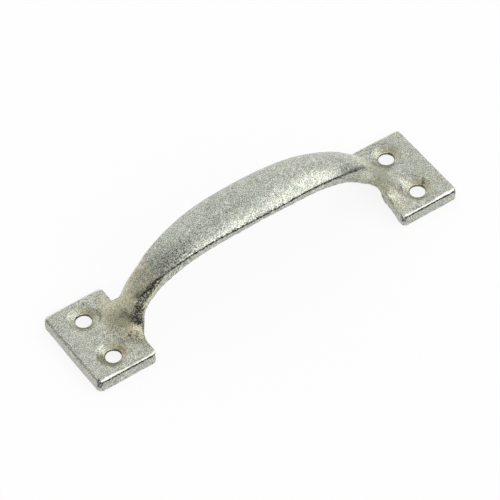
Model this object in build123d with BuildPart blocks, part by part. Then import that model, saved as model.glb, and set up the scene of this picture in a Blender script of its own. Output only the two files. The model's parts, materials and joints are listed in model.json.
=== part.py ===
"""Utility pull, one hollow-backed casting: a domed bow grip on two flanged legs, and a foot plate at each end.

X runs along the pull, Y across it, and Z stands out from the door.
The origin is the centre of the mounting face.
"""
import os
from math import acos, atan2, cos, degrees, hypot, radians, sin

from build123d import *

# Overall sizes, in millimetres
overall_length = 165.0
plate_length = 25.9
plate_width = 39.4
plate_height = 5.4
crown_height = 40.6

# Casting wall and its roundings
wall = 3.0
root_radius = 7.2
neck_radius = 5.5
crease_radius = 1.3
plate_edge_radius = 1.6
plate_corner_radius = 2.0
pocket_corner_radius = 2.5
pocket_edge_radius = 1.2

# Screw holes: distance from the plates' outer ends, spacing across, bore, and the soft countersink
hole_inset = 12.4
hole_spacing = 20.6
screw_hole = 6.2
sink_diameter = 11.0
sink_angle = 100.0
sink_rim_radius = 1.5

# Bow seen from above: its two widths and the arcs of its sides
grip_width = 20.7
leg_width = 12.2
side_radius = 256.0
waist_radius = 71.0

# Crown line from the middle out: a long arc, flatter than the shoulder that follows it, and the bend into the leg
dome_radius = 14.8
leg_setback = 0.5
crown_turn = 5.7
crown_flatness = 2.6
bend_radius = 14.0

# Lower edge of the flanges: three such arcs, by the turns at which they meet
grip_depth = 6.3
leg_depth = 2.2
edge_turn = 6.8
edge_shoulder_turn = 43.7
edge_flatness = 3.06
edge_foot = 3.0

# Arch in the inner end of each plate: the metal left over it, and the bend from it up the back of the leg
arch_web = 1.0
under_bend_radius = 10.4

# Places that follow from the sizes
clear = 1.0
tiny = 0.01
half_length = overall_length / 2
plate_inner = half_length - plate_length
leg_face = plate_inner + leg_setback
leg_upright = plate_height + root_radius + 10 * tiny
edge_height = crown_height - grip_depth
section_depth = bend_radius - 3 * clear
leg_back = leg_face - section_depth
hole_to_hole = overall_length - 2 * hole_inset
pocket_half_width = plate_width / 2 - wall
pocket_depth = plate_height - wall
arch_rise = plate_height - arch_web


def arcs_to_bend(reach, rise, first_turn, flatness, bend):
    """Three tangent arcs from level to upright with a given last radius: the other two radii and the second turn."""
    a = radians(first_turn)
    far, high = (flatness - 1) * sin(a), (flatness - 1) * (1 - cos(a)) + 1
    along, down = reach - bend - bend * far, rise - bend * high
    b = atan2(down, along) + acos(((reach - bend) * high - rise * far) / hypot(along, down))
    shoulder = (reach - bend + bend * sin(b)) / (far + sin(b))
    return flatness * shoulder, shoulder, degrees(b)


def arcs_by_turns(reach, rise, first_turn, second_turn, flatness):
    """Three tangent arcs from level to upright that meet at given turns: their radii."""
    a, b = radians(first_turn), radians(second_turn)
    far, high = (flatness - 1) * sin(a) + sin(b), (flatness - 1) * (1 - cos(a)) + 1 - cos(b)
    spread = far * cos(b) - high * (1 - sin(b))
    shoulder = (reach * cos(b) - rise * (1 - sin(b))) / spread
    return flatness * shoulder, shoulder, (rise * far - reach * high) / spread


crown_radius, shoulder_radius, shoulder_turn = arcs_to_bend(
    leg_face, crown_height - leg_upright, crown_turn, crown_flatness, bend_radius
)
edge_radius, edge_shoulder_radius, edge_bend_radius = arcs_by_turns(
    leg_face - leg_depth, edge_height - edge_foot, edge_turn, edge_shoulder_turn, edge_flatness
)

# Turn at which the bend under each leg leaves the lower edge, and its place along the edge's last arc
under_turn = degrees(acos((pocket_depth - edge_foot + under_bend_radius) / (edge_bend_radius + under_bend_radius)))
under_share = (under_turn - edge_shoulder_turn) / (90 - edge_shoulder_turn)


def dome_section(inset):
    """Section of the bow, drawn at the foot of the left leg with its dome towards -X, smaller by inset."""
    with BuildSketch() as face:
        with Locations((dome_radius - leg_face, 0)):
            Circle(dome_radius - inset)
        with Locations((-leg_face, 0)):
            Rectangle(section_depth, grip_width + clear, align=(Align.MIN, Align.CENTER), mode=Mode.INTERSECT)
    return face.sketch


def plan_view(inset):
    """The bow seen from above: long outward side arcs, then inward ones that run straight into the legs."""
    half_grip, half_leg = grip_width / 2 - inset, leg_width / 2 - inset
    turn = degrees(acos(1 - (half_grip - half_leg) / (side_radius + waist_radius)))
    with BuildSketch() as face:
        with BuildLine():
            side = JernArc((0, half_grip), (1, 0), side_radius, -turn)
            side = JernArc(side @ 1, side % 1, waist_radius, turn)
            Polyline(side @ 1, (half_length, half_leg), (half_length, 0))
            mirror(about=Plane.YZ)
            mirror(about=Plane.XZ)
        make_face()
    return face.sketch


# Crown line, from the foot of the left leg over the grip to the foot of the right one
with BuildLine(Plane.XZ) as crown_line:
    arc = JernArc((0, crown_height), (1, 0), crown_radius, -crown_turn)
    arc = JernArc(arc @ 1, arc % 1, shoulder_radius, crown_turn - shoulder_turn)
    arc = JernArc(arc @ 1, arc % 1, bend_radius, shoulder_turn - 90)
    Line(arc @ 1, (leg_face, 0))
    mirror(about=Plane.YZ)
crown_path = crown_line.wires()[0]

bow_section, bow_plan = dome_section(0), plan_view(0)
hollow_section, hollow_plan = dome_section(wall), plan_view(wall)

# Open space under the bow, up to the lower edges of its flanges
with BuildPart() as under_bow:
    with BuildSketch(Plane.XZ):
        with BuildLine():
            arc = JernArc((0, edge_height), (1, 0), edge_radius, -edge_turn)
            arc = JernArc(arc @ 1, arc % 1, edge_shoulder_radius, edge_turn - edge_shoulder_turn)
            last_arc = JernArc(arc @ 1, arc % 1, edge_bend_radius, edge_shoulder_turn - 90)
            Polyline(last_arc @ 1, (leg_face - leg_depth, -clear), (0, -clear))
            mirror(about=Plane.YZ)
        make_face()
    extrude(amount=plate_width / 2 + clear, both=True)

# Arched openings at the inner ends of the plates, bounded by the bends up the backs of the legs
bend_top = last_arc @ under_share
with BuildPart() as arches:
    with BuildSketch(Plane.XZ):
        with BuildLine():
            bend = JernArc(bend_top, last_arc % under_share, under_bend_radius, under_turn)
            Polyline(bend @ 1, ((bend @ 1).X, -clear), (bend_top.X, -clear), bend_top)
            mirror(about=Plane.YZ)
        make_face()
    extrude(amount=pocket_half_width, both=True)
    with BuildSketch(Plane.YZ):
        with BuildLine():
            ThreePointArc((-pocket_half_width, 0), (0, arch_rise), (pocket_half_width, 0))
            Polyline(
                (pocket_half_width, 0), (pocket_half_width, -clear),
                (-pocket_half_width, -clear), (-pocket_half_width, 0),
            )
        make_face()
    extrude(amount=half_length, both=True, mode=Mode.INTERSECT)

# Pockets in the backs of the plates, one wall inside their sides and tops
with BuildPart() as pockets:
    with BuildSketch(Plane.XY.offset(-clear)):
        with GridLocations(2 * half_length - plate_length, 1, 2, 1):
            RectangleRounded(plate_length - 2 * wall, 2 * pocket_half_width, pocket_corner_radius)
    extrude(amount=pocket_depth + clear)
    fillet(pockets.faces().filter_by(Axis.Z).sort_by(Axis.Z)[-2:].edges(), pocket_edge_radius)

# Hollow along the back of the grip, one wall inside its dome and its sides
with BuildPart() as hollow:
    add(hollow_section)
    sweep(path=crown_path)
    with BuildSketch():
        add(hollow_plan)
    extrude(amount=crown_height, mode=Mode.INTERSECT)

with BuildPart() as pull:
    # Bow: the dome carried along the crown line and trimmed to the plan
    add(bow_section)
    sweep(path=crown_path)
    with BuildSketch():
        add(bow_plan)
    extrude(amount=crown_height, mode=Mode.INTERSECT)

    # Soft crease between the dome and the flanks
    creases = ShapeList()
    for face in pull.faces():
        center = face.center()
        outward = face.normal_at(center).dot(center - Vector(0, 0, leg_upright)) > 0
        if abs(center.Y) < crease_radius and center.Z > clear and outward:
            creases += face.edges().filter_by(lambda e: abs((e @ 0.5).Y) > (leg_width - crease_radius) / 2)
    fillet(creases, crease_radius)

    # Plates, drawn back to the backs of the legs so that the root rounding runs along their sides
    with BuildSketch():
        with GridLocations(half_length + leg_back, 1, 2, 1):
            Rectangle(half_length - leg_back, plate_width)
    extrude(amount=plate_height)
    corners = pull.edges().filter_by(Axis.Z).filter_by(lambda e: abs(e.center().X) > half_length - clear)
    fillet(corners, plate_corner_radius)
    top_edges = pull.edges().filter_by_position(Axis.Z, plate_height - tiny, plate_height + tiny)
    roots = top_edges.filter_by(
        lambda e: abs((e @ 0.5).Y) < leg_width / 2 + clear
        and leg_back + tiny < abs((e @ 0.5).X) < leg_face + clear
    )
    fillet(roots, root_radius)
    top_edges = pull.edges().filter_by_position(Axis.Z, plate_height - tiny, plate_height + tiny)
    rims = top_edges.filter_by(
        lambda e: abs((e @ 0.5).Y) > plate_width / 2 - plate_corner_radius
        or abs((e @ 0.5).X) > half_length - plate_corner_radius
    )
    fillet(rims, plate_edge_radius)

    # Open back: under the bow, the hollow of the grip, the arches and the pockets
    add(under_bow.part, mode=Mode.SUBTRACT)
    add(hollow.part, mode=Mode.SUBTRACT)
    add(arches.part, mode=Mode.SUBTRACT)
    add(pockets.part, mode=Mode.SUBTRACT)

    # Inner ends of the plates, with a curve into each side of the legs
    neck_start = (plate_inner, leg_width / 2 + neck_radius)
    neck_end = (plate_inner - neck_radius, leg_width / 2)
    corner_start = (plate_inner + plate_corner_radius, plate_width / 2)
    corner_end = (plate_inner, plate_width / 2 - plate_corner_radius)
    beside_grip, beside_plate = grip_width / 2 + clear, plate_width / 2 + clear
    with BuildSketch(Plane.XY.offset(-clear)):
        with BuildLine():
            RadiusArc(neck_start, neck_end, neck_radius)
            Polyline(
                neck_end, (plate_inner - neck_radius, beside_grip), (leg_back - clear, beside_grip),
                (leg_back - clear, beside_plate), (plate_inner + plate_corner_radius, beside_plate), corner_start,
            )
            RadiusArc(corner_start, corner_end, -plate_corner_radius)
            Line(corner_end, neck_start)
        make_face()
        mirror(about=Plane.YZ)
        mirror(about=Plane.XZ)
    extrude(amount=plate_height + root_radius + clear, mode=Mode.SUBTRACT)

    # Countersunk screw holes
    with Locations(Plane.XY.offset(plate_height)):
        with GridLocations(hole_to_hole, hole_spacing, 2, 2):
            CounterSinkHole(screw_hole / 2, sink_diameter / 2, counter_sink_angle=sink_angle)
    sink_rims = pull.edges().filter_by(GeomType.CIRCLE).filter_by(
        lambda e: abs(e.radius - sink_diameter / 2) < tiny and abs(e.center().Z - plate_height) < tiny
    )
    fillet(sink_rims, sink_rim_radius)

os.makedirs("parts", exist_ok=True)
pull.part.label = "pull"
export_step(pull.part, "parts/pull.step")
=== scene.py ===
# %% [markdown]
# # A galvanized utility pull in soft studio light
# The pull is one iron casting, dipped in molten zinc. Its shape comes measured from the frame, in metres,
# with its mounting face on Z = 0 and its length along X. This file gives it what the foundry and the zinc
# gave it: soft edges, a faintly uneven skin, grain, pits and stains. Each step says what the real thing
# does, how it could be made, and why it is made this way here.

# %% Load the casting and measure it
import json
from math import cos, radians, sin

import bmesh
import bpy
import numpy as np
from mathutils import Matrix, Vector


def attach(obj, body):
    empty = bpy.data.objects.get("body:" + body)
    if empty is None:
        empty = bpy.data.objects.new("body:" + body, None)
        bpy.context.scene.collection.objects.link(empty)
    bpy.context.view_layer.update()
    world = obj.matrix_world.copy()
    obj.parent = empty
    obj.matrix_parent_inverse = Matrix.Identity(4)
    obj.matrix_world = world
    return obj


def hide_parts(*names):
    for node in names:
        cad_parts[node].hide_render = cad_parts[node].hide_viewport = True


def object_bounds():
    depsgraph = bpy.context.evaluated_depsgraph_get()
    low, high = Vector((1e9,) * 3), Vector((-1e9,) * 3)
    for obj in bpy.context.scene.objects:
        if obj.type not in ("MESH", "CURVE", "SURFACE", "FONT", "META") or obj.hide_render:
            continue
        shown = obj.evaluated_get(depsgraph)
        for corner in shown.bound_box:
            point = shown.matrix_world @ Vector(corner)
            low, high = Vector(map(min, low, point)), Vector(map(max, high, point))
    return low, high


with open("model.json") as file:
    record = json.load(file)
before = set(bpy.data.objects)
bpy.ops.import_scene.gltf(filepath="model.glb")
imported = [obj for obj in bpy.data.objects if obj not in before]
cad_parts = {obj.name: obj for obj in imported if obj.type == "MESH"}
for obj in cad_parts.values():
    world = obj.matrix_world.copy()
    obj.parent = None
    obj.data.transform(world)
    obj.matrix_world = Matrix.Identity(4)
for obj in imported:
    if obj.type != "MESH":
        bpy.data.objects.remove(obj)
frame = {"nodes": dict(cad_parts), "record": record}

MM = 0.001


def mm(*lengths):
    """Lengths in millimetres, turned into the metres that the frame uses."""
    return tuple(length * MM for length in lengths)


cad_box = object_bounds()
casting = frame["nodes"]["pull"]
low, high = np.array(cad_box[0]), np.array(cad_box[1])
print("box of the casting in mm:", np.round(low / MM, 2), np.round(high / MM, 2))

# %% [markdown]
# ## The camera
# The photograph looks down on the pull from its near left, with a long lens from a little over a metre.
# The camera could be placed by eye. Two angles, a slight roll, a distance and a lens were fitted instead,
# so the view can be read and changed like a real set-up. The picture's centre is not quite the pull's,
# which a small lens shift takes up.

# %% Camera
AZIMUTH, ELEVATION, ROLL = radians(32.64), radians(49.57), radians(2.37)
DISTANCE = 1.243
SENSOR_WIDTH = 36.0
FRAME_PIXELS = 500
FOCAL_PIXELS = 3254.0
PULL_IN_PICTURE = (253.3, 261.2)

level = Vector((cos(AZIMUTH), -sin(AZIMUTH), 0.0))
steep = Vector((sin(AZIMUTH) * sin(ELEVATION), cos(AZIMUTH) * sin(ELEVATION), cos(ELEVATION)))
right = level * cos(ROLL) - steep * sin(ROLL)
up = level * sin(ROLL) + steep * cos(ROLL)
towards = right.cross(up)

camera_data = bpy.data.cameras.new("camera")
camera_data.sensor_width = SENSOR_WIDTH
camera_data.lens = FOCAL_PIXELS / FRAME_PIXELS * SENSOR_WIDTH
camera_data.shift_x = (FRAME_PIXELS / 2 - PULL_IN_PICTURE[0]) / FRAME_PIXELS
camera_data.shift_y = (PULL_IN_PICTURE[1] - FRAME_PIXELS / 2) / FRAME_PIXELS
camera_data.clip_end = 20.0
camera = bpy.data.objects.new("camera", camera_data)
bpy.context.scene.collection.objects.link(camera)
turn = Matrix((right, up, towards)).transposed().to_4x4()
camera.matrix_world = Matrix.Translation(towards * DISTANCE) @ turn
bpy.context.scene.camera = camera
bpy.context.scene.view_settings.view_transform = "Standard"
print("camera at", [round(v, 3) for v in camera.location], "lens", round(camera_data.lens, 1), "mm")

# %% [markdown]
# ## Wiring a shader by hand
# Every finish below is a small net of nodes. Blender's menus would build them one by one. Short helpers
# do it here: one adds a node and fills its sockets, and the others do arithmetic, soft steps and colour
# mixing, so that a formula reads as one.

# %% Node helpers
def add_node(tree, kind, output=0, **sockets):
    """A node whose sockets are set by name, or by i and a number. It gives one of the node's outputs."""
    node = tree.nodes.new(kind)
    for name, value in sockets.items():
        socket = node.inputs[int(name[1:])] if name[0] == "i" and name[1:].isdigit() else node.inputs[name]
        if isinstance(value, bpy.types.NodeSocket):
            tree.links.new(value, socket)
        else:
            socket.default_value = value
    return node.outputs[output]


def calc(tree, operation, a, b=0.0):
    """One step of arithmetic on two numbers or sockets."""
    result = add_node(tree, "ShaderNodeMath", i0=a, i1=b)
    result.node.operation = operation
    return result


def ramp_between(tree, value, start, end, result_start=0.0, result_end=1.0):
    """A soft step: result_start up to start, result_end from end on, and a smooth slope between them."""
    result = add_node(tree, "ShaderNodeMapRange", i0=value, i1=start, i2=end, i3=result_start, i4=result_end)
    result.node.interpolation_type = "SMOOTHSTEP"
    return result


def mix_colours(tree, share, first, second, way="MIX"):
    """The first colour with that share of the second laid over it, or multiplied into it."""
    mixed = add_node(tree, "ShaderNodeMix", 2, i0=share, i6=first, i7=second)
    mixed.node.data_type, mixed.node.blend_type = "RGBA", way
    return mixed


# %% [markdown]
# ## The table
# The pull lies on white paper. A studio would hang a long curved sweep behind it. The camera looks down
# here, so a flat square that just fills the picture is enough.

# %% Table
TABLE_HALF = 0.3
TABLE_CORNERS = np.array([[-1, -1, 0], [1, -1, 0], [1, 1, 0], [-1, 1, 0]]) * TABLE_HALF

sheet = bpy.data.meshes.new("table")
sheet.from_pydata(TABLE_CORNERS.tolist(), [], [[0, 1, 2, 3]])
sheet.update()
table = bpy.data.objects.new("table", sheet)
bpy.context.scene.collection.objects.link(table)
print("table", 2 * TABLE_HALF, "m wide")

# %% [markdown]
# ## The paper
# A photographer lights the paper from below to clear its shadows. A lamp under a translucent sheet could
# do that, but it would also light the pull. Here a share of the paper glows for the camera and for
# mirror-like rays only, so it adds no light to the pull, and a faint shadow stays.

# %% Paper finish
PAPER = (0.93, 0.93, 0.925, 1.0)
WHITE = (1.0, 1.0, 1.0, 1.0)
GLOW_SHARE = 0.86
MIRRORED_GLOW_SHARE = 0.6

paper = bpy.data.materials.new("white_paper")
paper.use_nodes = True
tree = paper.node_tree
tree.nodes.clear()
dull = add_node(tree, "ShaderNodeBsdfDiffuse", Color=PAPER)
glow = add_node(tree, "ShaderNodeEmission", Color=WHITE, Strength=1.0)
ray = tree.nodes.new("ShaderNodeLightPath")
seen = calc(tree, "MAXIMUM", ray.outputs["Is Camera Ray"], ray.outputs["Is Transmission Ray"])
seen = calc(tree, "MULTIPLY", seen, GLOW_SHARE)
mirrored = calc(tree, "MULTIPLY", ray.outputs["Is Glossy Ray"], MIRRORED_GLOW_SHARE)
share = calc(tree, "MAXIMUM", seen, mirrored)
surface = add_node(tree, "ShaderNodeMixShader", i0=share, i1=dull, i2=glow)
tree.links.new(surface, tree.nodes.new("ShaderNodeOutputMaterial").inputs["Surface"])
sheet.materials.append(paper)
print("paper glows by", GLOW_SHARE, "for the camera and", MIRRORED_GLOW_SHARE, "for mirrors")

# %% [markdown]
# ## The light
# Zinc mirrors the room in a blurred way, so the light is as much a thing to look at as a thing that
# shines. The photograph shows four parts of the room on the metal: a broad soft source on the near side,
# which draws the bright band along the grip, a dark strip at the table's edge, which draws the dark line
# in every rounded edge, a pale screen behind, and a pale ceiling. Lamps could stand in for each. Painting
# them into the world as soft shapes keeps the light free of hard shadows, and each can be moved by a
# number.

# %% Shades of the room, with directions as parts of 1 along X, Y and Z
HORIZON_SHADE, BEHIND_SHADE, BEHIND_Y = 0.04, 0.64, (0.05, 0.4)
CEILING_SHADE, CEILING_Z = 0.50, (0.20, 0.42)
SCREEN_SHADE, SCREEN_X, SCREEN_Y = 0.96, (-0.85, -0.25), (0.05, 0.35)
SOFTBOX_SHADE, SOFTBOX_X, SOFTBOX_Y, SOFTBOX_Z = 1.76, (-0.75, -0.25), (0.08, 0.42), (0.27, 0.40)
SOFTBOX_TOP_SHARE, SOFTBOX_TOP_Z = 0.50, (0.76, 0.97)
print("shades: horizon", HORIZON_SHADE, "ceiling", CEILING_SHADE, "softbox", SOFTBOX_SHADE)

# %% Room light
world = bpy.data.worlds.new("room")
bpy.context.scene.world = world
world.use_nodes = True
tree = world.node_tree
tree.nodes.clear()
direction = tree.nodes.new("ShaderNodeTexCoord").outputs["Generated"]
split = tree.nodes.new("ShaderNodeSeparateXYZ")
tree.links.new(direction, split.inputs[0])
room_x, room_y, room_z = split.outputs

horizon = ramp_between(tree, room_y, *BEHIND_Y, HORIZON_SHADE, BEHIND_SHADE)
shade = ramp_between(tree, room_z, *CEILING_Z, horizon, CEILING_SHADE)
screen = calc(tree, "MULTIPLY", ramp_between(tree, room_x, *SCREEN_X), ramp_between(tree, room_y, *SCREEN_Y))
shade = calc(tree, "MAXIMUM", shade, calc(tree, "MULTIPLY", screen, SCREEN_SHADE))
softbox = ramp_between(tree, room_x, *SOFTBOX_X)
softbox = calc(tree, "MULTIPLY", softbox, ramp_between(tree, room_z, *SOFTBOX_Z))
softbox = calc(tree, "MULTIPLY", softbox, ramp_between(tree, room_y, *SOFTBOX_Y, 1.0, 0.0))
softbox = calc(tree, "MULTIPLY", softbox, ramp_between(tree, room_z, *SOFTBOX_TOP_Z, 1.0, SOFTBOX_TOP_SHARE))
shade = calc(tree, "MAXIMUM", shade, calc(tree, "MULTIPLY", softbox, SOFTBOX_SHADE))
ray = tree.nodes.new("ShaderNodeLightPath")
shade = add_node(tree, "ShaderNodeMix", i0=ray.outputs["Is Camera Ray"], i2=shade, i3=1.0)
background = add_node(tree, "ShaderNodeBackground", Color=WHITE, Strength=shade)
tree.links.new(background, tree.nodes.new("ShaderNodeOutputWorld").inputs["Surface"])
print("room has", len(tree.nodes), "nodes")

# %% [markdown]
# ## An even net for the skin
# The measured casting has long thin triangles and edges as crisp as a drawing. Sand and zinc leave none:
# every edge is rounded and the skin is faintly uneven. Bevels would have to be told about each edge.
# Instead a copy is rebuilt as one closed net of small even squares, four tenths of a millimetre wide,
# which can be smoothed and pushed anywhere. Finer squares would take the piece past 200,000 triangles.

# %% Copy the casting onto an even net
NET_STEP = 0.385 * MM


def even_net(source, name, step):
    """A new object with the source's shape on a net of even squares, step wide."""
    mesh = source.data.copy()
    net = bmesh.new()
    net.from_mesh(mesh)
    bmesh.ops.remove_doubles(net, verts=net.verts, dist=step / 1000)
    net.to_mesh(mesh)
    net.free()
    piece = bpy.data.objects.new(name, mesh)
    bpy.context.scene.collection.objects.link(piece)
    remesh = piece.modifiers.new("even_net", "REMESH")
    remesh.mode = "VOXEL"
    remesh.voxel_size = step
    bpy.context.view_layer.update()
    rebuilt = bpy.data.meshes.new_from_object(piece.evaluated_get(bpy.context.evaluated_depsgraph_get()))
    piece.modifiers.clear()
    piece.data = rebuilt
    rebuilt.name = name
    return piece


skin = even_net(casting, "zinc_skin", NET_STEP)
print("net:", len(skin.data.vertices), "points,", 2 * len(skin.data.polygons), "triangles")

# %% [markdown]
# ## Points as arrays
# A hundred thousand points moved one at a time would take minutes. numpy moves them all in one line, so
# the mesh is read into arrays, worked on there, and written back.

# %% Read and write the mesh
def read_rows(items, name, width, kind=float):
    """One row of numbers for each item of the mesh."""
    flat = np.empty(len(items) * width, dtype=kind)
    items.foreach_get(name, flat)
    return flat.reshape(-1, width)


def read_normals(mesh):
    """The outward direction at each point."""
    return read_rows(mesh.vertex_normals, "vector", 3)


def write_points(mesh, points):
    """Put the rows of x, y, z back into the mesh."""
    mesh.vertices.foreach_set("co", points.ravel())
    mesh.update()


def from_middle(points):
    """How far each point lies from the pull's middle along X, from it along Y, and above the door."""
    return np.abs(points[:, 0]), np.abs(points[:, 1]), points[:, 2]


points = read_rows(skin.data.vertices, "co", 3)
edges = read_rows(skin.data.edges, "vertices", 2, np.int32)
print("arrays:", points.shape, "points and", edges.shape, "edges")

# %% [markdown]
# ## Soft steps
# Most of what follows happens in one zone and not in the next. A hard limit between them would leave a
# ridge, so each zone is a weight from 0 to 1 that rises and falls by the same soft curve. Weights are
# multiplied to say "and".

# %% Weights from 0 to 1
def soft_step(value, start, end):
    """0 up to start, 1 from end on, and 3t^2 - 2t^3 between them."""
    t = np.clip((value - start) / (end - start), 0.0, 1.0)
    return t * t * (3.0 - 2.0 * t)


def soft_end(value, start, end):
    """1 up to start and 0 from end on, the other way round."""
    return 1.0 - soft_step(value, start, end)


def band(value, start, full, fade, end):
    """0 up to start, 1 between full and fade, and 0 again from end on, with soft slopes."""
    return soft_step(value, start, full) * soft_end(value, fade, end)


print("halfway up a soft step:", soft_step(0.5, 0.0, 1.0))

# %% [markdown]
# ## Smoothing
# The casting's crisp edges are rounded by the sand and the zinc. A point is smoothed by moving it towards
# the middle of its neighbours. Done alone this shrinks the shape, so each pass is followed by a slightly
# longer step back, which keeps the broad form and only removes the crisp detail.

# %% Smooth the skin
EDGE_PASSES, EDGE_AMOUNT = 4, 0.6
STEP_BACK = 1.04


def neighbour_mean(values, edges):
    """For each point, the mean of a value over the points that it shares an edge with."""
    count = len(values)
    ends, others = edges.ravel(), edges[:, ::-1].ravel()
    share = np.bincount(ends, minlength=count)
    columns = [np.bincount(ends, values[others, k], minlength=count) for k in range(values.shape[1])]
    return np.stack(columns, axis=1) / share[:, None]


def smooth(points, edges, passes, amount):
    """Passes of p + a (m - p) and then p - 1.04 a (m - p), where m is the mean of the neighbours."""
    for _ in range(passes):
        points = points + amount * (neighbour_mean(points, edges) - points)
        points = points - STEP_BACK * amount * (neighbour_mean(points, edges) - points)
    return points


points = smooth(points, edges, EDGE_PASSES, EDGE_AMOUNT)
write_points(skin.data, points)
print("smoothed skin in mm:", np.round(points.min(axis=0) / MM, 2), np.round(points.max(axis=0) / MM, 2))

# %% [markdown]
# ## Worn dimples
# The screw holes sit in shallow dishes, because the zinc has filled the foot of each countersink. A dish
# could be cut with a turned tool shape. One height curve over the distance from each hole does the same
# on the net, and takes the holes' places and width from the record.

# %% Dishes round the screw holes
PLATE_TOP, POCKET_CEILING = 5.4 * MM, 2.4 * MM
SINK_RADIUS, SINK_FLOOR = 5.5 * MM, 3.39 * MM
DISH_RADIUS, DISH_START = 7.6 * MM, 1.2 * MM
DISH_PASSES, DISH_AMOUNT, NEAR_HOLE = 6, 0.5, mm(8.0, 9.0)

holes = next(mount for mount in frame["record"]["mounts"] if mount["name"] == "screw_holes")
bore_radius = holes["dims"]["hole_r_mm"] * MM
reach_x, reach_y = holes["dims"]["spacing_x_mm"] / 2 * MM, holes["dims"]["spacing_y_mm"] / 2 * MM


def hole_distance(points):
    """Distance from the axis of the nearest screw hole, by Pythagoras in one quarter of the pull."""
    along, across, _ = from_middle(points)
    return np.hypot(along - reach_x, across - reach_y)


def dish(points):
    """Turn cones into dishes: the height rises by 3t^2 - 2t^3 from the bore to the dish's rim."""
    distance = hole_distance(points)
    cone = np.interp(distance, [bore_radius, SINK_RADIUS], [SINK_FLOOR, PLATE_TOP])
    wide = SINK_FLOOR + (PLATE_TOP - SINK_FLOOR) * soft_step(distance, bore_radius - DISH_START, DISH_RADIUS)
    rise = np.clip((points[:, 2] - POCKET_CEILING) / (cone - POCKET_CEILING), 0.0, 1.0)
    moved = points.copy()
    moved[:, 2] += (wide - cone) * rise * (distance < DISH_RADIUS)
    return moved


points = dish(points)
near_hole = soft_end(hole_distance(points), *NEAR_HOLE)
points = smooth(points, edges, DISH_PASSES, DISH_AMOUNT * near_hole[:, None])
print("dishes", 2 * DISH_RADIUS / MM, "mm wide")

# %% [markdown]
# ## Legs that lean
# No two ends of a hand-made pattern are alike. In the photograph the back of the far leg stands further
# in near its top and squares up to the plate at its foot, and the near leg is a little slimmer. The
# measured casting is the same at both ends. Two curves of shift against height tell the ends apart
# without a second model.

# %% Shift the backs of the legs, with heights and distances in mm
LEG_BACK = np.array([(3.0, 54.9), (9.9, 53.8), (13.4, 52.4), (16.4, 50.6), (19.4, 48.0), (22.0, 44.9),
                     (25.0, 40.0)]) * MM
FAR_SHIFT = np.array([(0.0, 0.0), (13.4, 0.0), (16.4, -0.3), (19.4, -1.1), (23.0, -1.1), (27.0, 0.0)]) * MM
NEAR_SHIFT = np.array([(0.0, 0.0), (4.0, -0.5), (9.9, -0.6), (16.4, -0.4), (22.0, -0.2), (27.0, 0.0)]) * MM
FAR_LINE = np.array([(0.0, 56.7), (5.0, 56.6), (9.9, 55.4), (13.4, 53.3), (16.4, 50.6)]) * MM
LEAN_DEPTH, LEAN_SIDES, LEAN_START = mm(0.8, 8.0), mm(8.5, 14.0), mm(36.0, 42.0)
FAR_SQUEEZE, SQUEEZE_START, SQUEEZE_HEIGHT = 0.8, 45.0 * MM, mm(14.0, 16.4)
FOOT_PASSES, FOOT_AMOUNT, FOOT_ALONG, FOOT_HEIGHT = 6, 0.6, mm(50.0, 53.0, 58.5, 60.0), mm(16.0, 19.0)


def back_shift(points):
    """The shift of the leg's back at each point's height."""
    tall = points[:, 2]
    return np.where(points[:, 0] > 0, np.interp(tall, *FAR_SHIFT.T), np.interp(tall, *NEAR_SHIFT.T))


def lean_legs(points):
    """Shift the backs of the legs along X, then bring what hangs inside the far leg's line out to it.

    A shift is the curve's value at the point's height, times weights that fade away from the leg's back.
    """
    along, across, tall = from_middle(points)
    from_back = along - np.interp(tall, *LEG_BACK.T)
    shift = back_shift(points) * soft_end(from_back, *LEAN_DEPTH) * soft_end(across, *LEAN_SIDES)
    moved = points.copy()
    moved[:, 0] += shift * soft_step(along, *LEAN_START) * np.sign(points[:, 0])
    inside = np.interp(tall, *FAR_LINE.T) - moved[:, 0]
    far_foot = (inside > 0.0) * (moved[:, 0] > SQUEEZE_START) * soft_end(tall, *SQUEEZE_HEIGHT)
    moved[:, 0] += FAR_SQUEEZE * inside * far_foot
    return moved


points = lean_legs(points)
far_foot = band(points[:, 0], *FOOT_ALONG) * soft_end(points[:, 2], *FOOT_HEIGHT)
points = smooth(points, edges, FOOT_PASSES, FOOT_AMOUNT * far_foot[:, None])
print("far leg moved by up to", -FAR_SHIFT[:, 1].min() / MM, "mm near its top")

# %% [markdown]
# ## Roots of the legs
# Where a leg stands on its plate the iron flows out in one long sweep, so that the casting does not crack
# there. A bevel on the joint would be an even quarter circle. The real sweep runs further up the leg than
# out over the plate and is broader behind, so the skin is pushed out to a curve with its own width,
# height and fullness.

# %% Sweep the roots out over the plates
ROOT_WIDTH, ROOT_HEIGHT, ROOT_POWER = 9.0 * MM, 13.0 * MM, 1.2
LEG_FACE, LEG_HALF_WIDTH, DOME_RADIUS = 57.1 * MM, 6.1 * MM, 14.8 * MM
NEAR_SIDE, NEAR_SIDE_LOSS, NEAR_SIDE_DELAY, FAR_LEG_SHARE = mm(-6.0, 0.0), 0.7, 3.5 * MM, 0.5
BEHIND_FACE, OFF_HOLE, ROOT_FLOOR, PLATE_SKIN = mm(51.5, 57.0), mm(5.5, 9.0), 3.0 * MM, 0.3 * MM


def root_outward(points):
    """The direction away from the leg's outline seen from above, and the distance along it.

    The outline is a round face, an arc of the dome's radius, and two flat sides.
    """
    along, across, _ = from_middle(points)
    along = along - (LEG_FACE - DOME_RADIUS)
    reach = np.hypot(along, across)
    beyond_face, beyond_side = np.maximum(reach - DOME_RADIUS, 0.0), np.maximum(across - LEG_HALF_WIDTH, 0.0)
    outward = np.stack([beyond_face * along, beyond_face * across + beyond_side * reach], axis=1) + 1e-9
    outward *= np.sign(points[:, :2]) / np.linalg.norm(outward, axis=1)[:, None]
    return outward, np.hypot(beyond_face, beyond_side)


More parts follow.
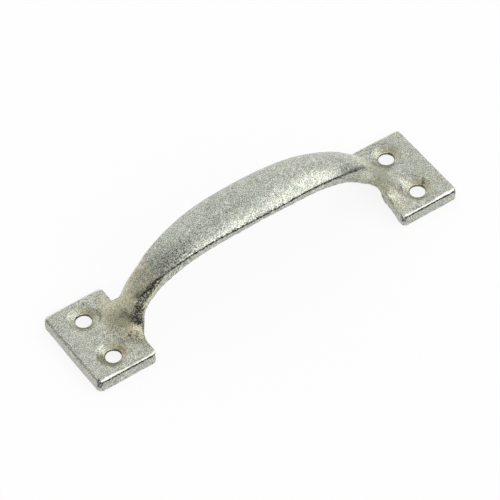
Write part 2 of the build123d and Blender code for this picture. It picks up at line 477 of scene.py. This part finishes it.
def root_sweep(points):
    """Push the skin out to a curve that runs from the plate up to the leg.

    With a and b the parts still to go of the sweep's width and height, the curve is a^p + b^p = 1. A point
    inside it has s = (a^p + b^p)^(1/p) above 1, and a and b are both divided by s.
    """
    outward, distance = root_outward(points)
    a = np.clip(1.0 - distance / ROOT_WIDTH, 0.0, 1.0)
    b = np.clip(1.0 - (points[:, 2] - PLATE_TOP) / ROOT_HEIGHT, 0.0, 1.0)
    size = np.maximum((a ** ROOT_POWER + b ** ROOT_POWER) ** (1.0 / ROOT_POWER), 1.0)
    near_side = soft_end(points[:, 1], *NEAR_SIDE) * np.where(points[:, 0] > 0, FAR_LEG_SHARE, 1.0)
    behind = soft_step(np.abs(points[:, 0]) - NEAR_SIDE_DELAY * near_side, *BEHIND_FACE)
    share = (1.0 - 1.0 / size) * behind * (1.0 - NEAR_SIDE_LOSS * near_side)
    share *= soft_step(points[:, 2], ROOT_FLOOR, PLATE_TOP) * soft_step(hole_distance(points), *OFF_HOLE)
    moved = points.copy()
    moved[:, :2] += (share * a * ROOT_WIDTH)[:, None] * outward
    moved[:, 2] += share * b * ROOT_HEIGHT * (points[:, 2] > PLATE_TOP - PLATE_SKIN)
    return moved


points = root_sweep(points)
print("roots reach", ROOT_WIDTH / MM, "mm out and", ROOT_HEIGHT / MM, "mm up")

# %% [markdown]
# ## Last hollows
# Between the sweep and the leg a sharp hollow is left, which iron does not keep. It could be modelled by
# hand with a clay brush. Here it fills by itself: each point moves towards its neighbours' middle, but
# only outwards, so hollows rise and nothing else changes.

# %% Fill the hollows
FILL_PASSES, FILL_AMOUNT, NORMALS_EVERY = 400, 0.8, 20
OUTSIDE_ALONG, OUTSIDE_ACROSS = mm(55.6, 57.0), mm(5.2, 6.0)
BY_LEG, FILL_OFF_HOLE, FILL_FLOOR = mm(46.0, 52.0), mm(6.0, 8.5), PLATE_TOP - 0.6 * MM


def fill_hollows(mesh, points, edges, passes, weight):
    """Passes of p + 0.8 w max((m - p) . n, 0) n, with m the neighbours' mean and n the outward direction."""
    for count in range(passes):
        if count % NORMALS_EVERY == 0:
            write_points(mesh, points)
            normals = read_normals(mesh)
        step = np.sum((neighbour_mean(points, edges) - points) * normals, axis=1)
        points = points + (FILL_AMOUNT * weight * np.maximum(step, 0.0))[:, None] * normals
    return points


along, across, tall = from_middle(points)
outside = np.maximum(soft_step(along, *OUTSIDE_ALONG), soft_step(across, *OUTSIDE_ACROSS))
by_leg = soft_step(along, *BY_LEG) * soft_step(hole_distance(points), *FILL_OFF_HOLE)
by_leg *= soft_step(tall, FILL_FLOOR, PLATE_TOP)
before = points
points = fill_hollows(skin.data, points, edges, FILL_PASSES, outside * by_leg)
print("deepest fill", round(float(np.linalg.norm(points - before, axis=1).max() / MM), 2), "mm")

# %% [markdown]
# ## Molten edges
# The zinc runs together on the legs until their edges are hardly seen, while the plates stay square. A
# bevel wide enough for that would meet itself on the slim leg. Many small passes of smoothing, weighted
# by zone, melt the legs and their roots only. They thin the leg a little, and a swell outwards gives that
# back.

# %% Relax the legs and their roots
RELAX_PASSES, LOW_PASSES, RELAX_AMOUNT = 200, 100, 0.6
OFF_BACK, BACK_ALLOWANCE, BACK_SIDE = mm(1.2, 3.4), 2.5 * MM, mm(0.0, 5.0)
LEG_ALONG, LEG_HEIGHT = mm(44.0, 50.0), mm(5.6, 8.0, 26.0, 32.0)
ROOT_ALONG, ROOT_ACROSS, ROOT_OFF_HOLE = mm(70.0, 74.0), mm(14.0, 19.7), mm(5.0, 7.0)
ROOT_TALL = (PLATE_TOP - 0.4 * MM, PLATE_TOP, 16.0 * MM, 22.0 * MM)
BESIDE_ALONG, BESIDE_ACROSS, BESIDE_FADE = 57.8 * MM, 10.0 * MM, 1.5 * MM
LOW_ALONG, LOW_HEIGHT = mm(56.0, 59.0), mm(8.5, 14.0)
SWELL, SWELL_HEIGHT = 0.5 * MM, mm(13.0, 19.0)


def relax(points, edges, passes, weight):
    """Passes of p + 0.6 w (m - p), which melt everything smaller than a few millimetres."""
    for _ in range(passes):
        points = points + RELAX_AMOUNT * weight[:, None] * (neighbour_mean(points, edges) - points)
    return points


along, across, tall = from_middle(points)
from_back = along - np.interp(tall, *LEG_BACK.T) - back_shift(points)
from_back += BACK_ALLOWANCE * soft_step(points[:, 1], *BACK_SIDE)
off_back = soft_step(from_back, *OFF_BACK)
on_leg = soft_step(along, *LEG_ALONG) * band(tall, *LEG_HEIGHT) * off_back
beside_leg = soft_step(np.maximum(along - BESIDE_ALONG, BESIDE_ACROSS - across), 0.0, BESIDE_FADE)
round_root = soft_end(along, *ROOT_ALONG) * soft_end(across, *ROOT_ACROSS) * beside_leg
round_root *= soft_step(hole_distance(points), *ROOT_OFF_HOLE) * band(tall, *ROOT_TALL) * off_back
points = relax(points, edges, RELAX_PASSES, np.maximum(on_leg, round_root))
low_root = round_root * soft_step(along, *LOW_ALONG) * soft_end(tall, *LOW_HEIGHT)
points = relax(points, edges, LOW_PASSES, low_root)
write_points(skin.data, points)
swell = SWELL * on_leg * soft_step(tall, *SWELL_HEIGHT)
points = points + swell[:, None] * read_normals(skin.data)
write_points(skin.data, points)
print("relaxed", round(100 * float(np.maximum(on_leg, round_root).mean()), 1), "% of the skin")

# %% [markdown]
# ## The foundry's skin
# A sand mould leaves shallow swells some ten millimetres across, the zinc runs into small ripples on top
# of them, and gas leaves pits. A picture of heights could push the skin. Here each layer is a lattice of
# random values, blended between its corners, so it is the same on every run and has no repeat that shows.

# %% Blended random values
def lattice_noise(points, wavelength, seed, cells=32):
    """Random values from -1 to 1 on a lattice of that wavelength, blended by 3t^2 - 2t^3 along each axis."""
    lattice = np.random.default_rng(seed).uniform(-1.0, 1.0, (cells, cells, cells))
    place = points / wavelength + cells * 8
    cell = np.floor(place).astype(int)
    part = place - cell
    part = part * part * (3.0 - 2.0 * part)
    total = np.zeros(len(points))
    for corner_step in np.ndindex(2, 2, 2):
        weight = np.prod(np.where(corner_step, part, 1.0 - part), axis=1)
        x, y, z = ((cell + corner_step) % cells).T
        total += weight * lattice[x, y, z]
    return total


print("three random values:", np.round(lattice_noise(points[:3], 4.0 * MM, 11), 2))

# %% Swells, ripples and pits, by wavelength and height
SKIN_LAYERS = [(11.0 * MM, 0.09 * MM), (4.2 * MM, 0.045 * MM), (1.5 * MM, 0.022 * MM)]
FIRST_LAYER_SEED, PIT_SEED = 11, 21
PIT_WIDTH, PIT_DEPTH, PIT_START = 1.7 * MM, 0.35 * MM, 0.62

normals = read_normals(skin.data)
lift = sum(size * lattice_noise(points, wave, seed)
           for seed, (wave, size) in enumerate(SKIN_LAYERS, FIRST_LAYER_SEED))
pits = np.clip(lattice_noise(points, PIT_WIDTH, PIT_SEED) - PIT_START, 0.0, 1.0) * PIT_DEPTH
points = np.clip(points + normals * (lift - pits)[:, None], low, high)
write_points(skin.data, points)
skin.data.polygons.foreach_set("use_smooth", np.ones(len(skin.data.polygons), dtype=bool))
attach(skin, "root")
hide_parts("pull")
print("deepest pit", round(float(pits.max() / MM), 3), "mm")

# %% [markdown]
# ## Where dirt, rust, painted light and painted shade sit
# Dark lines lie in creases and along the foot of every rounded edge, where the zinc mirrors a dark strip of
# the room; they are painted here, as is the shade in the bores. Rust comes through where hands and screws
# have rubbed, and some edges and the legs get painted highlights and painted light. A painter would brush
# these on. Here each is a number from 0 to 1 at every point of the skin, worked out from where the point
# is and which way it faces, so the shader can read it.

# %% Helpers for masks
STREAK_CORE = 0.3


def write_mask(mesh, name, values):
    """Store one number per point under that name."""
    values = np.clip(values, 0.0, 1.0)
    mask = mesh.attributes.new(name, "FLOAT", "POINT")
    mask.data.foreach_set("value", values.astype(np.float32))
    print(name, "covers", round(100 * float(values.mean()), 1), "% of the skin")


def streak(points, start, end, radius):
    """1 along the line from start to end, both in mm, falling to 0 at that radius, also in mm."""
    start, line = np.array(start), np.array(end) - np.array(start)
    part = np.clip((points / MM - start) @ line / max(line @ line, 1e-9), 0.0, 1.0)
    distance = np.linalg.norm(points / MM - start - part[:, None] * line, axis=1)
    return soft_end(distance, STREAK_CORE * radius, radius)


def streaks(points, marks):
    """All the marks of a list together."""
    return np.minimum(sum(streak(points, *mark) for mark in marks), 1.0)


normals = read_normals(skin.data)
along, across, tall = from_middle(points)
side_x, side_y = points[:, 0], points[:, 1]
from_hole = hole_distance(points)
sideways = np.abs(normals[:, 1])
print("skin faces sideways by", round(float(sideways.mean()), 2), "on average")

# %% [markdown]
# ## Painted dark reflections and painted shade
# Where the dome turns down into the flank, along the near leg's edge and at the foot of the plates' rounded
# edges the zinc mirrors a dark strip of the room, and the bores lie in shade. These dark lines and the dark
# bores are painted here in black. How far a point faces sideways finds the lines, because the turn of the
# surface is the edge. A second test on the way outwards keeps the underside clean.

# %% Painted dark reflections in creases and on edges, and painted shade in the bores
CREASE_SHARE, LEG_EDGE_SHARE, RIM_SHARE, BORE_SHARE = 0.85, 0.66, 0.8, 0.95
CREASE_TURN, NOT_UNDER, CREASE_OUT = (0.58, 0.76, 0.95, 0.995), (-0.3, -0.1), (0.05, 0.2)
BOW_ALONG, BOW_HEIGHT, CREASE_X = mm(57.0, 60.0), mm(7.0, 9.0), mm(34.0, 44.0)
LEG_EDGE_TURN, LEG_EDGE_OUT = (0.36, 0.66, 0.95, 0.99), (0.12, 0.3)
LEG_EDGE_X, LEG_EDGE_HEIGHT = mm(-60.0, -57.0, -44.0, -22.0), mm(6.0, 11.0)
RIM_TURN, RIM_ACROSS, RIM_FLOOR = (0.74, 0.86, 0.96, 0.995), 18.0 * MM, 2.8 * MM
BORE_REACH, BORE_FACING = mm(3.5, 4.2), (0.5, 0.8)
UNDER_BOW_ALONG, UNDER_BOW_HEIGHT, LEAST_RISE = mm(30.0, 8.0, 1.0)

outward_x = np.sign(side_x) * np.maximum(along - UNDER_BOW_ALONG, 0.0)
outward_z = np.maximum(tall - UNDER_BOW_HEIGHT, LEAST_RISE)
faces_out = (normals[:, 0] * outward_x + normals[:, 2] * outward_z) / np.hypot(outward_x, outward_z)

# painted dark reflection: the line where the dome turns down into the flank
crease = CREASE_SHARE * band(sideways, *CREASE_TURN) * soft_step(normals[:, 2], *NOT_UNDER)
crease *= soft_end(along, *BOW_ALONG) * soft_step(tall, *BOW_HEIGHT)
crease *= soft_end(side_x, *CREASE_X) * soft_step(faces_out, *CREASE_OUT)

# painted dark reflection along the near leg's edge
leg_edge = LEG_EDGE_SHARE * band(sideways, *LEG_EDGE_TURN) * soft_step(faces_out, *LEG_EDGE_OUT)
leg_edge *= band(side_x, *LEG_EDGE_X) * soft_step(tall, *LEG_EDGE_HEIGHT) * (side_y < 0)

# painted dark reflection at the foot of the plates' rounded long edges
rim = RIM_SHARE * band(sideways, *RIM_TURN) * (across > RIM_ACROSS) * (tall > RIM_FLOOR)
# painted shade inside the screw bores
bore = BORE_SHARE * soft_end(from_hole, *BORE_REACH) * soft_end(normals[:, 2], *BORE_FACING)
print("edges darkened:", round(100 * float((np.maximum(crease, leg_edge) > 0.3).mean()), 1), "% of the skin")

# %% Single dark marks, by start, end and radius in mm
SOOT_MARKS = [((-81.2, -18.4, 4.8), (-81.6, -18.6, 3.0), 1.7), ((57.2, -18.6, 4.6), (57.0, -18.8, 3.0), 1.6),
              ((75.1, -7.1, 5.2), (73.3, -9.0, 4.0), 0.8), ((75.1, -7.1, 5.2), (74.4, -9.0, 4.4), 0.6),
              ((66.3, 15.2, 5.3), (68.3, 16.0, 5.4), 0.6), ((-73.9, 14.3, 5.4), (-73.9, 14.5, 5.4), 0.6),
              ((-66.2, 15.9, 5.4), (-66.4, 16.3, 5.4), 0.6), ((-66.8, 4.4, 5.4), (-66.7, 4.5, 5.4), 0.5),
              ((-76.6, -12.1, 5.4), (-76.4, -12.3, 5.4), 0.7), ((-58.8, -6.4, 7.0), (-60.8, -7.6, 6.2), 1.2)]
# painted shade under the near leg's edge at its root, and a painted dark reflection on the near shoulder
UNDER_LEG_EDGE = ((-57.0, -8.0, 10.0), (-60.0, -10.0, 6.0), 6.0)
SHOULDER_STREAK = ((-43.0, -6.5, 30.5), (-33.0, -5.0, 34.5), 7.0)
MARKS_SHARE, UNDER_EDGE_SHARE, SHOULDER_SHARE = 0.8, 0.30, 0.36

under_edge = streak(points, *UNDER_LEG_EDGE)
patch = np.maximum(SHOULDER_SHARE * streak(points, *SHOULDER_STREAK), UNDER_EDGE_SHARE * under_edge)
spots = MARKS_SHARE * streaks(points, SOOT_MARKS)
# this mask holds the painted dark reflections and the painted shade above, and the dark marks
write_mask(skin.data, "soot_and_painted_shade", np.maximum.reduce([crease, leg_edge, rim, bore, spots, patch]))

# %% [markdown]
# ## Rust
# Rust shows as fine orange specks where the zinc is thin: on the near leg where a hand rubs it, on the
# dishes' shaded sides, where it also darkens as painted shade, and on the plates' ends. One arc lies
# beside the near hole, where a screw head has turned.

# %% Rust zones and marks
RUST_MARKS = [((68.6, -1.6, 5.4), (68.8, -1.9, 5.4), 0.8), ((69.2, -4.0, 5.4), (69.4, -4.4, 5.4), 0.7),
              ((73.4, -15.9, 5.4), (73.9, -16.3, 5.4), 0.8), ((72.3, -12.2, 5.0), (73.2, -12.0, 5.2), 0.8),
              ((57.1, -1.3, 8.0), (57.3, -1.6, 8.0), 1.2)]
LEG_RUST, DISH_RUST_AND_SHADE, END_RUST = 0.5, 0.15, 0.5
HELD_X, HELD_HEIGHT, END_ALONG = mm(-50.0, -42.0), mm(5.0, 8.0, 24.0, 34.0), mm(81.0, 82.0)
DISH_REACH, DISH_HEIGHT = mm(3.4, 7.6), mm(2.9, 3.5)
SHADED_BEARING, SHADED_SPREAD = radians(25.0), (0.2, 0.9)
ARC_REACH, ARC_SPREAD = mm(4.1, 4.5, 4.6, 5.0), (0.80, 0.93)

near_leg_face = soft_end(side_x, *HELD_X) * band(tall, *HELD_HEIGHT)
dish_side = soft_end(from_hole, *DISH_REACH) * soft_step(tall, *DISH_HEIGHT)
bearing = np.arctan2(side_y - np.sign(side_y) * reach_y, side_x - np.sign(side_x) * reach_x)
shaded_side = soft_step(np.cos(bearing - SHADED_BEARING), *SHADED_SPREAD)
arc = band(from_hole, *ARC_REACH) * soft_step(np.cos(bearing), *ARC_SPREAD) * (side_x < 0) * (side_y < 0)
end_face = soft_step(along, *END_ALONG)
# on the dishes the rust lies only on the shaded side, so there it is partly painted shade
rust = LEG_RUST * near_leg_face + DISH_RUST_AND_SHADE * dish_side * shaded_side + END_RUST * end_face
write_mask(skin.data, "rust", rust)
write_mask(skin.data, "rust_spot", np.maximum(arc, streaks(points, RUST_MARKS)))

# %% [markdown]
# ## Old oil, painted highlight, painted light and painted shade
# An olive film of oil and dirt stays in the dishes and at the roots of the legs, and on the dishes' shaded
# sides and under the near leg's edge it is laid thicker as painted shade. The plates' long edges get a
# painted highlight, and the legs and the far leg's root get painted light in a warm tint. Where the far leg
# runs into its plate the zinc is matt.

# %% Film with painted shade, painted highlight, painted light and matt places
DISH_FILM, SHADED_SIDE_OLIVE_SHADE, ROOT_FILM, LEG_FILM, UNDER_EDGE_OLIVE_SHADE = 0.35, 0.65, 0.2, 0.25, 0.35
ROOT_ZONE, ROOT_ZONE_HEIGHT = mm(52.0, 56.0, 60.0, 68.0), mm(5.3, 5.8)
HIGHLIGHT_TURN, HIGHLIGHT_ACROSS, HIGHLIGHT_FLOOR = (0.18, 0.34, 0.56, 0.72), mm(16.8, 17.6), 4.0 * MM
MATT_ZONE, MATT_HEIGHT, NEAR_MATT = mm(50.0, 54.0, 62.0, 70.0), mm(5.2, 5.7), 0.3
FAR_LEG_X, FAR_LEG_HEIGHT, FAR_LEG_LIGHT, MATT_LIGHT = mm(44.0, 52.0), mm(5.6, 9.0), 0.6, 0.5

root_zone = band(along, *ROOT_ZONE) * soft_step(tall, *ROOT_ZONE_HEIGHT)
# olive film, laid thicker as painted shade on the dishes' shaded sides and under the near leg's edge
film_and_shade = dish_side * (DISH_FILM + SHADED_SIDE_OLIVE_SHADE * shaded_side) + ROOT_FILM * root_zone
write_mask(skin.data, "olive_film_and_shade", film_and_shade + LEG_FILM * near_leg_face + UNDER_EDGE_OLIVE_SHADE * under_edge)

# painted highlight: a lighter colour on the plates' rounded long edges
painted_highlight = band(sideways, *HIGHLIGHT_TURN) * soft_step(across, *HIGHLIGHT_ACROSS) * (tall > HIGHLIGHT_FLOOR)
write_mask(skin.data, "painted_highlight", painted_highlight)

matt_root = band(along, *MATT_ZONE) * soft_step(tall, *MATT_HEIGHT)
write_mask(skin.data, "matt", matt_root * np.where(side_x > 0, 1.0, NEAR_MATT))

# painted light: the near leg, the far leg and the far leg's root are made lighter, in a warm tint
far_leg = soft_step(side_x, *FAR_LEG_X) * soft_step(tall, *FAR_LEG_HEIGHT)
lighter = np.maximum(FAR_LEG_LIGHT * far_leg, MATT_LIGHT * matt_root * (side_x > 0))
write_mask(skin.data, "painted_light", near_leg_face * (1.0 - under_edge) + lighter)

# %% [markdown]
# ## The zinc
# Hot-dip zinc on cast iron is a grey metal with a sandy grain, a little green and yellow in it, and
# clouds of lighter and darker grey. A photographed texture would carry its own light. Noise at three
# sizes, in millimetres of the pull itself, gives clouds, mottle and grain that stay in place from every
# side.

# %% Zinc grey and its grain
# Each noise is given by its cells to the millimetre and its detail
CLOUDS, CLOUD_SIZE = (0.07, 2.0), 0.16
MOTTLE, MOTTLE_SIZE = (0.5, 3.0), 0.36
GRAIN, GRAIN_EDGES, GRAIN_SHADES = (2.4, 3.0), (0.36, 0.64), (0.52, 1.48)
TINT, TINT_SHARE = (1.7, 2.0), 0.25
MID_GREY, ZINC_CAST = (0.50, 0.50, 0.50, 1.0), (0.97, 1.0, 0.872)

zinc = bpy.data.materials.new("galvanized_iron")
zinc.use_nodes = True
tree = zinc.node_tree
shader = tree.nodes["Principled BSDF"]
object_place = tree.nodes.new("ShaderNodeTexCoord").outputs["Object"]
place = add_node(tree, "ShaderNodeVectorMath", i0=object_place, i3=1 / MM)
place.node.operation = "SCALE"


def cloud(tree, place, per_mm, detail, output=0):
    """Blender's noise with that many cells to the millimetre."""
    return add_node(tree, "ShaderNodeTexNoise", output, Vector=place, Scale=per_mm, Detail=detail)


def spread(tree, value, size):
    """A noise around 0.5 turned into one around 1, with that size."""
    return calc(tree, "ADD", calc(tree, "MULTIPLY", calc(tree, "SUBTRACT", value, 0.5), 2 * size), 1.0)


clouds = spread(tree, cloud(tree, place, *CLOUDS), CLOUD_SIZE)
mottle = spread(tree, cloud(tree, place, *MOTTLE), MOTTLE_SIZE)
grain_cloud = cloud(tree, place, *GRAIN)
grain = ramp_between(tree, grain_cloud, *GRAIN_EDGES, *GRAIN_SHADES)
brightness = calc(tree, "MULTIPLY", calc(tree, "MULTIPLY", clouds, mottle), grain)
tint = mix_colours(tree, TINT_SHARE, MID_GREY, cloud(tree, place, *TINT, output=1))
colour = add_node(tree, "ShaderNodeVectorMath", i0=tint, i3=brightness)
colour.node.operation = "SCALE"
colour = add_node(tree, "ShaderNodeVectorMath", i0=colour, i1=ZINC_CAST)
colour.node.operation = "MULTIPLY"
print("zinc grey: clouds of", 1 / CLOUDS[0], "mm, mottle of", 1 / MOTTLE[0], "mm")

# %% [markdown]
# ## Stains and painted light over the zinc
# The colours lie on the metal in this order: a painted highlight on the plates' long edges and painted
# light on the legs, the oil film with its painted shade, rust through it, and black over all, for soot and
# pits and for the painted dark reflections and painted shade. Each is a colour laid over the last, by its
# mask from above. Noise breaks up the masks, since no real stain has an even edge.

# %% Painted highlight, painted light, film with painted shade, and rust
PAINTED_HIGHLIGHT, PAINTED_LIGHT_WARM = (0.90, 0.90, 0.86, 1.0), (1.34, 1.32, 1.19, 1.0)
OLIVE_FILM_AND_SHADE, RUST, RUST_SPOT = (0.34, 0.31, 0.14, 1.0), (0.48, 0.26, 0.12, 1.0), (0.42, 0.20, 0.08, 1.0)
PAINTED_HIGHLIGHT_SHARE, OLIVE_AND_SHADE_SHARE, RUST_SHARE, LOOSE_RUST_SHARE = 0.85, 0.6, 0.8, 0.6
FLECK, FLECK_EDGES, SPOT_EDGES, SPOT_SHADES = (1.6, 5.0), (0.32, 0.68), (0.1, 0.6), (0.2, 0.8)
RUST_SPECKS, SPECK_EDGES = (1.7, 3.0), (0.54, 0.62)
LOOSE_RUST, LOOSE_EDGES = (0.8, 4.0), (0.68, 0.76)


def named_mask(tree, name):
    """The number stored on the skin under that name."""
    node = tree.nodes.new("ShaderNodeAttribute")
    node.attribute_name = name
    return node.outputs["Fac"]


def stained(tree, colour, mask, share, stain):
    """A stain's colour over the zinc, by a mask and a share."""
    return mix_colours(tree, calc(tree, "MULTIPLY", mask, share), colour, stain)


fleck = ramp_between(tree, cloud(tree, place, *FLECK), *FLECK_EDGES)
rust_specks = ramp_between(tree, cloud(tree, place, *RUST_SPECKS), *SPECK_EDGES)
rusty = calc(tree, "MULTIPLY", named_mask(tree, "rust"), rust_specks)
loose_rust = ramp_between(tree, cloud(tree, place, *LOOSE_RUST), *LOOSE_EDGES)
spot_fleck = ramp_between(tree, fleck, *SPOT_EDGES, *SPOT_SHADES)
# painted highlight on the plates' rounded long edges
colour = stained(tree, colour, named_mask(tree, "painted_highlight"), PAINTED_HIGHLIGHT_SHARE, PAINTED_HIGHLIGHT)
# painted light on the legs and the far leg's root, in a warm tint
colour = mix_colours(tree, named_mask(tree, "painted_light"), colour, PAINTED_LIGHT_WARM, "MULTIPLY")
# olive film, with painted shade on the dishes' shaded sides and under the near leg's edge
colour = stained(tree, colour, named_mask(tree, "olive_film_and_shade"), OLIVE_AND_SHADE_SHARE, OLIVE_FILM_AND_SHADE)
colour = stained(tree, colour, rusty, RUST_SHARE, RUST)
colour = stained(tree, colour, named_mask(tree, "rust_spot"), spot_fleck, RUST_SPOT)
colour = stained(tree, colour, loose_rust, LOOSE_RUST_SHARE, RUST)
print("stains laid over the zinc")

# %% Soot, black pits, and the painted dark reflections and painted shade
SOOT_AND_SHADE_BLACK, SOOT_AND_SHADE_SHARE, SOOT_AND_SHADE_EDGES = (0.035, 0.035, 0.045, 1.0), 0.9, (0.30, 0.95)
BLACK_PITS, PIT_EDGES = (1.1, 3.0), (0.70, 0.78)

# black for soot and pits, and for the painted dark reflections and painted shade
frayed = calc(tree, "ADD", named_mask(tree, "soot_and_painted_shade"), calc(tree, "SUBTRACT", fleck, 0.5))
soot_and_painted_shade = ramp_between(tree, frayed, *SOOT_AND_SHADE_EDGES)
black_pits = ramp_between(tree, cloud(tree, place, *BLACK_PITS), *PIT_EDGES)
colour = stained(tree, colour, calc(tree, "MAXIMUM", soot_and_painted_shade, black_pits), SOOT_AND_SHADE_SHARE, SOOT_AND_SHADE_BLACK)
tree.links.new(colour, shader.inputs["Base Color"])
print("soot laid over the stains")

# %% [markdown]
# ## How the zinc shines
# Under the stains the zinc is bare metal, so it mirrors the room. Its crystals scatter the light, some
# patches more than others, and the sandy grain stands a few hundredths of a millimetre high. Grain that
# fine would need millions of squares, so it is left to the shader, while the swells and pits are in the
# net.

# %% Roughness and grain
CRYSTALS, ROUGHNESS, ROUGHNESS_SIZE, MATT_GAIN = (0.9, 3.0), 0.24, 0.5, 0.24
GRAIN_HEIGHT = 0.05 * MM

shader.inputs["Metallic"].default_value = 1.0
roughness = calc(tree, "MULTIPLY", spread(tree, cloud(tree, place, *CRYSTALS), ROUGHNESS_SIZE), ROUGHNESS)
roughness = calc(tree, "ADD", roughness, calc(tree, "MULTIPLY", named_mask(tree, "matt"), MATT_GAIN))
tree.links.new(roughness, shader.inputs["Roughness"])
bump = add_node(tree, "ShaderNodeBump", Height=grain_cloud, Distance=GRAIN_HEIGHT, Strength=1.0)
tree.links.new(bump, shader.inputs["Normal"])
skin.data.materials.clear()
skin.data.materials.append(zinc)
casting.data.materials.clear()
casting.data.materials.append(zinc)
print("zinc finish has", len(tree.nodes), "nodes")
